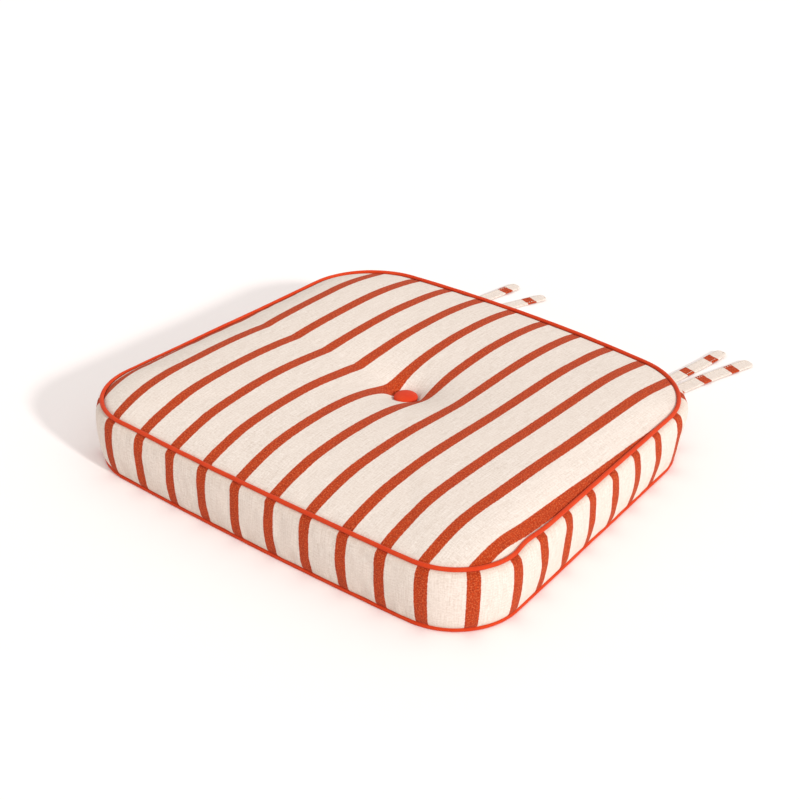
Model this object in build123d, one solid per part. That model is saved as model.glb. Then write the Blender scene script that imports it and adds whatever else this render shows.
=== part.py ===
"""Boxed chair seat pad: striped cover with piped edges, foam and fibre filling,
one tufting button each side, a zip along the back and four tie straps.

Millimetres. X runs across the pad, Y from front to back, +Z up. The origin is on
the plane the pad rests on, in the middle of its width and depth.
"""
from build123d import *
import math
import os

# --- outline of the piped edge, seen from above -----------------------------
WIDTH = 414.3            # across the two side pipings, centre to centre
DEPTH = 374.6            # front piping to back piping, centre to centre
FRONT_BOW = 2.07         # degrees that half of the front edge turns
SIDE_TAPER = 3.07        # degrees that each side leans in towards the back
BACK_BOW = 6.0           # degrees that half of the back edge turns
FRONT_CORNER_R = 57.0
BACK_CORNER_R = 73.4

# --- heights -----------------------------------------------------------------
PIPE_R = 1.8             # covered piping
CORD_R = 1.1             # filler cord inside it
PIPE_CLOTH = 0.6
SEAM_LOW = PIPE_R        # height of the lower piping's centre line
SEAM_HIGH = 56.4         # height of the upper piping's centre line
CLOTH = 0.8              # cover cloth with its turnings
BULGE = 5.0              # how far the boxing stands out past the piping line
RIM_INSET = 2.1          # panels start this far inside the piping's centre line
CROWN = ((RIM_INSET, 57.0), (14.0, 62.8), (44.0, 70.5))   # (inset, height)
MID_Z = (SEAM_LOW + SEAM_HIGH) / 2
BOX_HALF = 25.0          # half the height of the boxing between the pipings

# --- filling -----------------------------------------------------------------
LAYER_GAP = 0.2
WADDING = 8.0
FOAM_INSET = 10.0

# --- tufting -----------------------------------------------------------------
TUFT_Y = 3.6             # the button sits a little behind the middle
WELL_TOP_R, WELL_R, WELL_Z = 40.0, 11.4, 49.8
DIMPLE_MOUTH_R, DIMPLE_R, DIMPLE_Z = 26.0, 11.4, 6.6
TUFT_HOLE_R = 3.4        # where the shanks pass the cloth and the wadding
STITCH_HOLE_R = 1.3      # where the twine passes the foam
TWINE_R = 0.7
BUTTON_TOP_Z = WELL_Z + 0.1             # back of the upper button
BUTTON_LOW_Z = DIMPLE_Z - 0.1           # back of the underside button
SHANK_R, SHANK_WIRE = 2.2, 0.5

# --- zip ---------------------------------------------------------------------
ZIP_HALF_ANGLE = 5.45    # degrees each side of the middle of the back arc
ZIP_SLOT = 4.4           # half height of the slot in the back boxing
SLIDER_AT = 5.15         # degrees from the middle at which the closed slider rests

# --- ties --------------------------------------------------------------------
TIE_WIDTH = 13.0
TIE_THICK = 1.6
TIE_HINGE_OUT, TIE_HINGE_Z = 4.4, 5.9    # fold line, outside and above the piping
TIE_RAMP = 9.6           # run over which a tie drops to the ground
TIE_LIE_Z = 1.1          # height of the middle of a tie that lies on the ground
# name: (root x, heading at the root, heading at the tip, length on the ground)
TIES = {
    "tie_right_inner": (107.0, 11.3, 7.1, 137.0),
    "tie_right_outer": (123.5, 8.2, 20.5, 140.5),
    "tie_left_outer": (-123.5, 6.0, 14.0, 128.5),
    "tie_left_inner": (-107.0, 11.0, 27.0, 129.0),
}

# --- the outline's own geometry ----------------------------------------------
SIDE_HEADING = 90 + SIDE_TAPER
BACK_HEADING = 180 - BACK_BOW


def sin(angle):
    return math.sin(math.radians(angle))


def cos(angle):
    return math.cos(math.radians(angle))


def widest_side_run():
    """Front radius, side length and back radius that close the outline."""
    turned_x = FRONT_CORNER_R * (1 - sin(FRONT_BOW))
    front_r = (WIDTH / 2 - turned_x) / sin(FRONT_BOW)
    x = front_r * sin(FRONT_BOW) + FRONT_CORNER_R * (sin(SIDE_HEADING) - sin(FRONT_BOW))
    y = front_r * (1 - cos(FRONT_BOW)) + FRONT_CORNER_R * (cos(FRONT_BOW) - cos(SIDE_HEADING))
    x += BACK_CORNER_R * (sin(BACK_HEADING) - sin(SIDE_HEADING))
    y += BACK_CORNER_R * (cos(SIDE_HEADING) - cos(BACK_HEADING))
    rise = (1 + cos(BACK_HEADING)) / sin(BACK_HEADING)
    side = (DEPTH - y - x * rise) / (sin(SIDE_HEADING) + cos(SIDE_HEADING) * rise)
    back_r = (x + side * cos(SIDE_HEADING)) / sin(BACK_HEADING)
    return front_r, side, back_r


FRONT_R, SIDE_RUN, BACK_R = widest_side_run()
BACK_CENTRE_Y = DEPTH / 2 - BACK_R        # centre of the back edge's arc


def right_half(out=0.0):
    """Edges from the middle of the front to the middle of the back, offset outwards."""
    front = JernArc((0, -DEPTH / 2 - out), (1, 0), FRONT_R + out, FRONT_BOW)
    corner = JernArc(front @ 1, front % 1, FRONT_CORNER_R + out, SIDE_HEADING - FRONT_BOW)
    side = Line(corner @ 1, (corner @ 1) + (corner % 1) * SIDE_RUN)
    heel = JernArc(side @ 1, side % 1, BACK_CORNER_R + out, BACK_HEADING - SIDE_HEADING)
    back = JernArc(heel @ 1, heel % 1, BACK_R + out, BACK_BOW)
    return [front, corner, side, heel, back]


def slab(out, low, high):
    """The whole outline, offset outwards, as a flat slab."""
    half = right_half(out)
    closing = Line(half[-1] @ 1, half[0] @ 0)
    face = make_face(Curve() + half + [closing])
    piece = Pos(0, 0, low) * extrude(face, high - low)
    return piece + mirror(piece, about=Plane.YZ)


def swept(edges, profile):
    """Sweep a profile, drawn as (outwards, up), along joined edges."""
    start, along = edges[0] @ 0, edges[0] % 0
    outwards = Vector(along.Y, -along.X, 0)
    plane = Plane(origin=start, x_dir=outwards, z_dir=-along)
    return sweep(plane * profile, path=Wire([Edge(e.wrapped) for e in edges]))


def both_sides(half):
    return half + mirror(half, about=Plane.YZ)


def bow(out, z):
    """How far out a face lies that bows outwards between the pipings."""
    radius = (BOX_HALF**2 + BULGE**2) / (2 * BULGE)
    return out + BULGE - radius + math.sqrt(radius**2 - (z - MID_Z)**2)


def bow_arc(out, low, high):
    middle = (low + high) / 2
    return ThreePointArc((bow(out, low), low), (bow(out, middle), middle), (bow(out, high), high))


def bulged(low, high):
    """Profile of the boxing cloth, which bows outwards between the pipings."""
    fore, rear = bow_arc(0, low, high), bow_arc(-CLOTH, low, high)
    return make_face(Curve() + [rear, Line(rear @ 1, fore @ 1), fore, Line(fore @ 0, rear @ 0)])


def swelled(inner, low, high):
    """Profile of the filling that backs the boxing, from a flat inner side."""
    fore = bow_arc(-CLOTH - LAYER_GAP, low, high)
    sides = Polyline(fore @ 0, (inner, low), (inner, high), fore @ 1)
    return make_face(Curve() + [fore, sides])


def bar(out0, out1, low, high):
    """Rectangular profile given by its reach outwards and its heights."""
    return Pos((out0 + out1) / 2, (low + high) / 2) * Rectangle(out1 - out0, high - low)


def tufted(r, low, high):
    return Pos(0, TUFT_Y, low) * Cylinder(r, high - low, align=(Align.CENTER, Align.CENTER, Align.MIN))


# --- the filled form: upper half with its crown, lower half flat -------------
def upper_form(grow=0.0):
    """Crowned upper half of the filled pad with the well the button pulls in."""
    half_up = slab(-RIM_INSET + grow, MID_Z, CROWN[0][1])
    rims = []
    for inset, height in CROWN:
        half = right_half(-inset + grow)
        rims.append(Pos(0, 0, height) * make_face(Curve() + half + [Line(half[-1] @ 1, half[0] @ 0)]))
    dome = loft(rims, ruled=True)
    well = Pos(0, TUFT_Y, WELL_Z) * Cone(
        WELL_R, WELL_TOP_R, CROWN[-1][1] - WELL_Z, align=(Align.CENTER, Align.CENTER, Align.MIN))
    return half_up + both_sides(dome) - well


def lower_form(grow=0.0):
    """Flat lower half with the dimple the underside button pulls in."""
    dimple = Pos(0, TUFT_Y, 0) * Cone(
        DIMPLE_MOUTH_R, DIMPLE_R, DIMPLE_Z, align=(Align.CENTER, Align.CENTER, Align.MIN))
    return slab(-RIM_INSET + grow, 0, MID_Z) - dimple


def layer(form, tool, start, end, sign):
    """What lies between two depths under the surface of a form."""
    return Pos(0, 0, sign * start) * form - Pos(0, 0, sign * end) * tool


def on_back_arc(edges_out, profile, half_angle):
    """Sweep a profile along the middle of the back arc, half_angle to each side."""
    start = Vector(0, DEPTH / 2 + edges_out, 0)
    half = JernArc(start, (-1, 0), BACK_R + edges_out, half_angle)
    return both_sides(swept([half], profile))


def turned_on_back_arc(piece, angle):
    """Move a piece made at the middle of the back edge along the back arc, towards +X."""
    return Pos(0, BACK_CENTRE_Y, 0) * Rot(0, 0, -angle) * Pos(0, -BACK_CENTRE_Y, 0) * piece


def block(across, out0, out1, low, high, shift=0.0):
    """A block at the middle of the back edge, given by its reach outwards and its heights."""
    middle = ((out0 + out1) / 2, (low + high) / 2)
    return Pos(shift, DEPTH / 2 + middle[0], middle[1]) * Box(across, out1 - out0, high - low)


# --- sub-parts ---------------------------------------------------------------
def make_cover_and_filling(parts):
    upper, upper_tool = upper_form(), upper_form(0.15)
    lower, lower_tool = lower_form(), lower_form(0.15)
    passage = tufted(TUFT_HOLE_R, -5, 90)
    under = CLOTH + LAYER_GAP
    deep = under + WADDING
    core = deep + LAYER_GAP
    parts["top_panel"] = layer(upper, upper_tool, 0, CLOTH, -1) - passage
    parts["fibre_wrap_top"] = layer(upper, upper_tool, under, deep, -1) - passage
    parts["bottom_panel"] = layer(lower, lower_tool, 0, CLOTH, 1) - passage
    parts["fibre_wrap_bottom"] = layer(lower, lower_tool, under, deep, 1) - passage
    foam_top = Pos(0, 0, -core) * upper & slab(-FOAM_INSET, MID_Z, CROWN[-1][1])
    foam_low = Pos(0, 0, core) * lower & slab(-FOAM_INSET, core, MID_Z)
    parts["foam_core"] = foam_top + foam_low - tufted(STITCH_HOLE_R, -5, 90)


def make_edge_filling(parts):
    """Fibre round the foam's edge, flat behind the zip so that the slider can run."""
    low = CLOTH + WADDING + 2 * LAYER_GAP
    high = CROWN[0][1] - low
    inner = -FOAM_INSET + LAYER_GAP
    edges = right_half()
    half = swept(edges[:4], swelled(inner, low, high)) + swept(edges[4:], bar(inner, -1.5, low, high))
    parts["fibre_wrap_edge"] = both_sides(half)


def make_boxing(parts):
    low, high = MID_Z - BOX_HALF, MID_Z + BOX_HALF
    edges = right_half()
    parts["boxing_strip"] = both_sides(swept(edges[:4], bulged(low, high)))
    back = edges[4:]
    parts["zip_boxing_lower"] = both_sides(swept(back, bulged(low, MID_Z - ZIP_SLOT)))
    parts["zip_boxing_upper"] = both_sides(swept(back, bulged(MID_Z + ZIP_SLOT, high)))


def make_piping(parts):
    edges = right_half()
    for name, height in (("bottom", SEAM_LOW), ("top", SEAM_HIGH)):
        cover = Pos(0, height) * (Circle(PIPE_R) - Circle(PIPE_R - PIPE_CLOTH))
        parts[f"piping_{name}_cover"] = both_sides(swept(edges, cover))
        parts[f"piping_{name}_cord"] = both_sides(swept(edges, Pos(0, height) * Circle(CORD_R)))


def make_zip(parts):
    """Tapes, coils and slider: the coils stay apart by the slider's thin neck."""
    tape_in, tape_out, coil_out = 2.3, 2.9, 4.6
    edge_gap, tape_reach, coil_height = 0.5, 11.0, 1.7
    for name, sign in (("lower", -1), ("upper", 1)):
        tape = sorted((MID_Z + sign * edge_gap, MID_Z + sign * tape_reach))
        coil = sorted((MID_Z + sign * edge_gap, MID_Z + sign * (edge_gap + coil_height)))
        parts[f"zip_tape_{name}"] = on_back_arc(0, bar(tape_in, tape_out, *tape), ZIP_HALF_ANGLE)
        parts[f"zip_coil_{name}"] = on_back_arc(0, bar(tape_out, coil_out, *coil), ZIP_HALF_ANGLE)
    inner_plate = block(8.6, 0.7, 1.9, MID_Z - 3.4, MID_Z + 3.4)
    outer_plate = block(9.0, 5.6, 6.8, MID_Z - 3.6, MID_Z + 3.6)
    neck = block(3.2, 1.9, 5.6, MID_Z - 0.3, MID_Z + 0.3, shift=2.6)
    slider = fillet(outer_plate.edges().filter_by(Axis.Y), 1.6) + inner_plate + neck
    for side in (-1, 1):       # the two ears that carry the pull's pin
        slider += block(3.0, 6.8, 9.0, MID_Z + side * 2.1 - 0.5, MID_Z + side * 2.1 + 0.5)
    pin_out = 8.2
    pin = Pos(0, DEPTH / 2 + pin_out, MID_Z) * Cylinder(0.6, 5.2)
    tab = block(19.0, pin_out - 0.6, pin_out + 0.6, MID_Z - 2.6, MID_Z + 2.6, shift=-11.4)
    tab = fillet(tab.edges().filter_by(Axis.Y), 2.0)
    tongue = block(4.0, pin_out - 0.6, pin_out + 0.6, MID_Z - 1.2, MID_Z + 1.2, shift=-1.9)
    knuckle = Pos(0, DEPTH / 2 + pin_out, MID_Z) * Cylinder(1.1, 2.4)
    window = block(8.0, pin_out - 2, pin_out + 2, MID_Z - 1.2, MID_Z + 1.2, shift=-14.0)
    pull = tab + tongue + knuckle - window - Pos(0, DEPTH / 2 + pin_out, MID_Z) * Cylinder(0.66, 9)
    parts["zip_slider"] = turned_on_back_arc(slider + pin, SLIDER_AT)
    parts["zip_pull"] = turned_on_back_arc(pull, SLIDER_AT)


def make_button(parts, name, base, up):
    """Cloth-covered two-part button whose wire shank points into the pad."""
    radius, rise, skin, shell = 10.6, 5.4, 0.6, 0.5

    def dome(r, height):
        ball_r = (r**2 + height**2) / (2 * height)
        cap = Pos(0, 0, height - ball_r) * Sphere(ball_r)
        return cap & Pos(0, 0, height) * Box(3 * r, 3 * r, 2 * height)

    hollow, inside = radius - skin, radius - skin - shell
    cover = dome(radius, rise) - dome(hollow, rise - skin)
    cap = dome(hollow - 0.05, rise - skin - 0.05) - dome(inside, rise - skin - shell)
    plate = Cylinder(inside - 0.6, 0.6, align=(Align.CENTER, Align.CENTER, Align.MIN))
    loop = Rot(90, 0, 0) * Torus(SHANK_R, SHANK_WIRE)
    back = plate + (loop & Pos(0, 0, -5) * Box(12, 12, 10))
    for side, piece in (("cover", cover), ("shell", cap), ("shank", back)):
        placed = piece if up else mirror(piece, about=Plane.XY)
        parts[f"{name}_{side}"] = Pos(0, TUFT_Y, base) * placed


def make_twine(parts):
    """Twine with an eye at each end, hooked through the two shanks."""
    eye_r, reach = 1.8, SHANK_R + 0.4
    high, low = BUTTON_TOP_Z - reach, BUTTON_LOW_Z + reach
    bottom, top = low + eye_r, high - eye_r
    twine = Pos(0, TUFT_Y, (bottom + top) / 2) * Cylinder(TWINE_R, top - bottom)
    for height in (low, high):
        twine += Pos(0, TUFT_Y, height) * Rot(0, 90, 0) * Torus(eye_r, TWINE_R * 0.85)
    parts["tuft_twine"] = twine


def make_ties(parts):
    """Four straps, each folding at the seam, and the sewn-in ends they fold from."""
    ends = []
    for name, (root_x, heading, tip_heading, length) in TIES.items():
        lean = math.degrees(math.asin(root_x / (BACK_R + TIE_HINGE_OUT)))
        seam = turned_on_back_arc
        ends.append(seam(block(TIE_WIDTH, 1.0, TIE_HINGE_OUT - TIE_THICK / 2 - 0.3,
                               TIE_HINGE_Z - TIE_THICK / 2, TIE_HINGE_Z + TIE_THICK / 2), lean))
        fold_y = DEPTH / 2 + TIE_HINGE_OUT
        roll = Pos(0, fold_y, TIE_HINGE_Z) * Rot(0, 90, 0) * Cylinder(TIE_THICK / 2, TIE_WIDTH)
        drop = TIE_HINGE_Z - TIE_LIE_Z
        slope = math.degrees(math.atan2(drop, TIE_RAMP))
        ramp = (Pos(0, fold_y + TIE_RAMP / 2, TIE_HINGE_Z - drop / 2) * Rot(-slope, 0, 0)
                * Box(TIE_WIDTH, math.hypot(drop, TIE_RAMP), TIE_THICK))
        knee = Pos(0, fold_y + TIE_RAMP, TIE_LIE_Z) * Rot(0, 90, 0) * Cylinder(TIE_THICK / 2, TIE_WIDTH)
        turn = tip_heading - heading
        start = Vector(0, fold_y + TIE_RAMP, TIE_LIE_Z)
        along = Vector(sin(heading + lean * -1), cos(heading + lean * -1), 0)
        bend = JernArc(start, along, math.radians(abs(turn)) ** -1 * length, -turn)
        cut = Plane(origin=start, x_dir=Vector(along.Y, -along.X, 0), z_dir=along)
        lying = sweep(cut * Rectangle(TIE_WIDTH, TIE_THICK), path=bend)
        tip = lying.edges().filter_by(Axis.Z).sort_by_distance(bend @ 1)[:2]
        lying = fillet(tip, TIE_WIDTH * 0.3)
        parts[name] = seam(roll + ramp + knee + lying, lean)
    parts["tie_seam_ends"] = Compound(children=ends)


def main():
    os.makedirs("parts", exist_ok=True)
    parts = {}
    make_cover_and_filling(parts)
    make_edge_filling(parts)
    make_boxing(parts)
    make_piping(parts)
    make_zip(parts)
    make_button(parts, "button_top", BUTTON_TOP_Z, up=True)
    make_button(parts, "button_under", BUTTON_LOW_Z, up=False)
    make_twine(parts)
    make_ties(parts)
    for name, piece in parts.items():
        export_step(piece, f"parts/{name}.step")
    print(len(parts), "sub-parts; back arc centre y", round(BACK_CENTRE_Y, 3))
    fold_r = BACK_R + TIE_HINGE_OUT
    for name, (root_x, *_) in TIES.items():
        lean = math.asin(root_x / fold_r)
        print(name, "fold at", round(fold_r * math.sin(lean), 3),
              round(BACK_CENTRE_Y + fold_r * math.cos(lean), 3), "lean", round(math.degrees(lean), 4))


main()
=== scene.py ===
"""Looks of a boxed chair seat pad: striped cloth, red piping, one covered button, zip and ties.

Metres, in the part's own frame: X across the pad, Y from front to back, Z up.
"""
import math
import bpy
import numpy as np
from mathutils import Matrix, Vector


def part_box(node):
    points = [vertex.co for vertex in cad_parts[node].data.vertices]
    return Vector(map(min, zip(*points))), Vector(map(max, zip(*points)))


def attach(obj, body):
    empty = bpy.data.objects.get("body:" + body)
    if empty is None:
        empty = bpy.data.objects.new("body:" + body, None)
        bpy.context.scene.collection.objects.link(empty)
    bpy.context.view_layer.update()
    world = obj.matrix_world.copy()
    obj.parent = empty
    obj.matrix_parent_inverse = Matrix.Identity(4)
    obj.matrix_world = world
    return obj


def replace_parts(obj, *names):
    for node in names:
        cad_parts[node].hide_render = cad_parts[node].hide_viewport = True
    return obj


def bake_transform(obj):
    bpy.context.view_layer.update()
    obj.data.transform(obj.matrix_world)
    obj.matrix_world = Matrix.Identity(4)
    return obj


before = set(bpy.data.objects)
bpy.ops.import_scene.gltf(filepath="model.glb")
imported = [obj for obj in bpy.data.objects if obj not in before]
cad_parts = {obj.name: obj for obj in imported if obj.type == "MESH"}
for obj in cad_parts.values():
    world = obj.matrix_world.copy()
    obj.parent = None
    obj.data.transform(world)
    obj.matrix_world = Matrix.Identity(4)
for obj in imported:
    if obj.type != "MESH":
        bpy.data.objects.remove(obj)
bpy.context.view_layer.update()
MM = 0.001

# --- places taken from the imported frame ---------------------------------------
top_low, top_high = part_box("piping_top_cover")
base_low, base_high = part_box("piping_bottom_cover")
button_low, button_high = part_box("button_top_cover")
back_zip_low, back_zip_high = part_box("zip_coil_upper")
PIPE_R = (top_high.z - top_low.z) / 2
TOP_Z = (top_high.z + top_low.z) / 2
BASE_Z = (base_high.z + base_low.z) / 2
MID_Z = (TOP_Z + BASE_Z) / 2
WIDTH = top_high.x - top_low.x - 2 * PIPE_R
DEPTH = top_high.y - top_low.y - 2 * PIPE_R
TUFT_Y = (button_low.y + button_high.y) / 2

# --- outline of the piped edge --------------------------------------------------
# half the front edge's bow, the sides' lean towards the back, half the back edge's bow
FRONT_BOW, SIDE_TAPER, BACK_BOW = (math.radians(a) for a in (2.07, 3.07, 6.0))
FRONT_CORNER_R, BACK_CORNER_R = 57.0 * MM, 73.4 * MM

# --- cloth ------------------------------------------------------------------------
REPEAT = 36.0 * MM        # one cream and one red stripe
STRIPE = 9.9 * MM         # the red one
CLOTH_SHIFT = 1.7 * MM    # how far the stripes sit to the right of centre
SEAM_UNDER = 1.0 * MM     # how far each panel's edge goes in under the piping
SEED = 7
# seeds for each seam's own unevenness, added to SEED
BOXING_SEED, BACK_SEED, BOTTOM_SEED, TOP_PIPING_SEED, BOTTOM_PIPING_SEED = 10, 20, 40, 60, 70


def outline_segments():
    """The right half of the edge as (length, curvature), front middle to back middle."""
    side_head, back_head = math.pi / 2 + SIDE_TAPER, math.pi - BACK_BOW
    front_r = (WIDTH / 2 - FRONT_CORNER_R * (1 - math.sin(FRONT_BOW))) / math.sin(FRONT_BOW)
    x = front_r * math.sin(FRONT_BOW)
    x += FRONT_CORNER_R * (math.sin(side_head) - math.sin(FRONT_BOW))
    y = front_r * (1 - math.cos(FRONT_BOW))
    y += FRONT_CORNER_R * (math.cos(FRONT_BOW) - math.cos(side_head))
    x += BACK_CORNER_R * (math.sin(back_head) - math.sin(side_head))
    y += BACK_CORNER_R * (math.cos(side_head) - math.cos(back_head))
    rise = (1 + math.cos(back_head)) / math.sin(back_head)
    side = (DEPTH - y - x * rise) / (math.sin(side_head) + math.cos(side_head) * rise)
    back_r = (x + side * math.cos(side_head)) / math.sin(back_head)
    return [(front_r * FRONT_BOW, 1 / front_r),
            (FRONT_CORNER_R * (side_head - FRONT_BOW), 1 / FRONT_CORNER_R),
            (side, 0.0),
            (BACK_CORNER_R * (back_head - side_head), 1 / BACK_CORNER_R),
            (back_r * BACK_BOW, 1 / back_r)]


SEGMENTS = outline_segments()
HALF_WAY = sum(length for length, _ in SEGMENTS)      # front middle to back middle
SIDE_START = SEGMENTS[0][0] + SEGMENTS[1][0]
SIDE_END = SIDE_START + SEGMENTS[2][0]
BACK_ARC = SEGMENTS[-1][0]
BACK_R = 1 / SEGMENTS[-1][1]


def edge_point(s, out=0.0):
    """Points and outward normals at distances s round the edge from the front middle."""
    s = (np.asarray(s, float) + HALF_WAY) % (2 * HALF_WAY) - HALF_WAY
    side, along = np.where(s < 0, -1.0, 1.0), np.abs(s)
    x, y, head = np.zeros_like(along), np.full_like(along, -DEPTH / 2), np.zeros_like(along)
    for length, bend in SEGMENTS:
        run = np.clip(along, 0, length)
        turned = head + run * bend
        if bend:
            x = x + (np.sin(turned) - np.sin(head)) / bend
            y = y + (np.cos(head) - np.cos(turned)) / bend
        else:
            x, y = x + run * np.cos(head), y + run * np.sin(head)
        head, along = turned, along - run
    nx, ny = np.sin(head), -np.cos(head)
    return (x + nx * out) * side, y + ny * out, nx * side, ny


def smooth_noise(values, size, seed):
    """Smooth repeatable unevenness, about -1 to 1, with lumps of the given size round the edge."""
    count = max(int(round(2 * HALF_WAY / size)), 4)
    table = np.random.RandomState(seed).uniform(-1, 1, count)
    place = (np.asarray(values, float) / (2 * HALF_WAY)) % 1 * count
    low = np.floor(place).astype(int)
    share = place - low
    share = share * share * (3 - 2 * share)
    return table[low % count] * (1 - share) + table[(low + 1) % count] * share


# --- mesh making --------------------------------------------------------------------
def mesh_object(name, points, faces, corner_uv, material):
    """A smooth-shaded piece; corner_uv gives each face corner its place on the flat cloth."""
    mesh = bpy.data.meshes.new(name)
    mesh.from_pydata([tuple(p) for p in points], [], [tuple(f) for f in faces])
    layer = mesh.uv_layers.new(name="cloth")
    layer.data.foreach_set("uv", np.asarray(corner_uv, float).reshape(-1))
    mesh.polygons.foreach_set("use_smooth", [True] * len(mesh.polygons))
    mesh.materials.append(material)
    mesh.update()
    piece = bpy.data.objects.new(name, mesh)
    bpy.context.scene.collection.objects.link(piece)
    return piece


def grid_parts(grid, uv, ring_rows=False, ring_columns=False, flip=False):
    """Vertices, quads and corner coordinates of a grid of points [row, column, xyz].

    uv has one more row or column than the grid wherever the grid closes on itself.
    """
    rows, columns = grid.shape[:2]
    faces, corners = [], []
    for i in range(rows if ring_rows else rows - 1):
        for j in range(columns if ring_columns else columns - 1):
            i1, j1 = (i + 1) % rows, (j + 1) % columns
            quad = [(i, j, i, j), (i, j1, i, j + 1), (i1, j1, i + 1, j + 1), (i1, j, i + 1, j)]
            if not flip:
                quad.reverse()
            faces.append([a * columns + b for a, b, _, _ in quad])
            corners.extend(uv[c, d] for _, _, c, d in quad)
    return grid.reshape(-1, 3), faces, corners


def grid_object(name, grid, uv, material, **closing):
    """A piece made from one grid of points; closing is passed on to grid_parts()."""
    points, faces, corners = grid_parts(grid, uv, **closing)
    return mesh_object(name, points, faces, corners, material)


def joined(name, groups, materials):
    """One mesh from several (points, faces, corner_uv, material number) groups."""
    points, faces, corners, numbers = [], [], [], []
    for group_points, group_faces, group_uv, number in groups:
        start = len(points)
        points.extend(tuple(p) for p in group_points)
        faces.extend([tuple(v + start for v in f) for f in group_faces])
        corners.extend(group_uv)
        numbers.extend([number] * len(group_faces))
    piece = mesh_object(name, points, faces, corners, materials[0])
    for extra in materials[1:]:
        piece.data.materials.append(extra)
    piece.data.polygons.foreach_set("material_index", numbers)
    return piece


def tube_parts(path, radius, around, closed=False):
    """A tube along points; radius is one number, or one for each point and direction."""
    path = np.asarray(path, float)
    if closed:
        ahead, behind = np.roll(path, -1, 0), np.roll(path, 1, 0)
    else:
        ahead, behind = np.vstack([path[1:], path[-1:]]), np.vstack([path[:1], path[:-1]])
    along = ahead - behind
    along /= np.linalg.norm(along, axis=1)[:, None]
    steep = np.abs(along[:, 2]).max() >= 0.9
    across = np.cross(along, (1.0, 0.0, 0.0) if steep else (0.0, 0.0, 1.0))
    across /= np.linalg.norm(across, axis=1)[:, None]
    upward = np.cross(across, along)
    angle = np.arange(around) / around * 2 * math.pi
    radius = np.broadcast_to(radius, (len(path), around))
    outward = np.cos(angle)[:, None] * across[:, None] + np.sin(angle)[:, None] * upward[:, None]
    grid = path[:, None] + radius[..., None] * outward
    steps = np.concatenate([[0], np.cumsum(np.linalg.norm(np.diff(path, axis=0), axis=1))])
    if closed:
        steps = np.append(steps, steps[-1] + np.linalg.norm(path[0] - path[-1]))
    round_it = np.arange(around + 1) / around * 2 * math.pi * float(np.mean(radius))
    uv = np.stack(np.broadcast_arrays(steps[:, None], round_it[None, :]), -1)
    points, faces, corners = grid_parts(grid, uv, ring_rows=closed, ring_columns=True)
    if not closed:
        for first, order in ((0, 1), (len(path) - 1, -1)):
            faces.append([first * around + k for k in range(around)][::order])
            corners.extend([uv[first, 0]] * around)
    return points, faces, corners


def fill_out(piece, held, pressure, slack, limit, frames=16):
    """Let the cloth settle over its filling, held at its seams, then keep that shape.

    held marks the points that seams and stitches hold; slack is the share of extra cloth;
    no point may move further than limit.
    """
    group = piece.vertex_groups.new(name="held")
    for number, share in enumerate(np.asarray(held, float).reshape(-1)):
        group.add([number], float(share), "REPLACE")
    before = np.empty(len(piece.data.vertices) * 3)
    piece.data.vertices.foreach_get("co", before)
    cloth = piece.modifiers.new("settle", "CLOTH")
    settings = cloth.settings
    settings.quality, settings.mass, settings.air_damping = 6, 0.25, 4.0
    settings.tension_stiffness = settings.compression_stiffness = 30.0
    settings.shear_stiffness, settings.bending_stiffness = 8.0, 2.0
    settings.vertex_group_mass = "held"
    settings.shrink_min = -slack
    settings.use_pressure, settings.uniform_pressure_force = True, pressure
    settings.effector_weights.gravity = 0.0
    cloth.point_cache.frame_start, cloth.point_cache.frame_end = 1, frames
    for frame_number in range(1, frames + 1):
        bpy.context.scene.frame_set(frame_number)
    settled = piece.evaluated_get(bpy.context.evaluated_depsgraph_get()).data
    after = np.empty(len(before))
    settled.vertices.foreach_get("co", after)
    moved = (after - before).reshape(-1, 3)
    size = np.linalg.norm(moved, axis=1)
    moved *= (limit * np.tanh(size / limit) / np.maximum(size, 1e-9))[:, None]
    piece.modifiers.remove(cloth)
    piece.vertex_groups.remove(group)
    piece.data.vertices.foreach_set("co", before + moved.reshape(-1))
    piece.data.update()
    bpy.context.scene.frame_set(1)


def smoother(piece):
    """One subdivision, made permanent."""
    piece.modifiers.new("finer", "SUBSURF").levels = 1
    fine = bpy.data.meshes.new_from_object(piece.evaluated_get(bpy.context.evaluated_depsgraph_get()))
    piece.modifiers.clear()
    piece.data = fine


# --- materials ------------------------------------------------------------------------
def linear(hex_colour):
    """sRGB hex to linear RGBA."""
    parts = [int(hex_colour[i:i + 2], 16) / 255 for i in (1, 3, 5)]
    return tuple(c / 12.92 if c <= 0.04045 else ((c + 0.055) / 1.055) ** 2.4 for c in parts) + (1.0,)


def add(tree, kind, settings=None, links=None):
    """One node, its settings, its input values and the sockets that feed it."""
    made = tree.nodes.new(kind)
    for name, value in (settings or {}).items():
        setattr(made, name, value)
    for name, value in (links or {}).items():
        if isinstance(value, bpy.types.NodeSocket):
            tree.links.new(value, made.inputs[name])
        else:
            made.inputs[name].default_value = value
    return made


def start_material(name):
    """An empty material and its node tree."""
    material = bpy.data.materials.new(name)
    material.use_nodes = True
    material.node_tree.nodes.clear()
    return material, material.node_tree


def finish_material(tree, shader_inputs):
    """The shader that everything made so far feeds."""
    shader = add(tree, "ShaderNodeBsdfPrincipled", links=shader_inputs)
    add(tree, "ShaderNodeOutputMaterial", links={"Surface": shader.outputs["BSDF"]})


THREAD = 0.75 * MM            # real threads are 0.5 mm; drawn this coarse so that they show
FINE_THREAD = 0.6 * MM        # the plain cotton's are 0.35 mm; drawn coarser likewise
TAPE_THREAD = 0.7 * MM        # the zip tape's are 0.4 mm; drawn coarser likewise
CORD_YARN = 1.1 * MM
SEWING_THREAD = 0.35 * MM
STRIPE_BLUR = 0.006           # in repeats; how softly one colour gives way to the other
COLOUR_MIX = {"data_type": "RGBA"}


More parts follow.
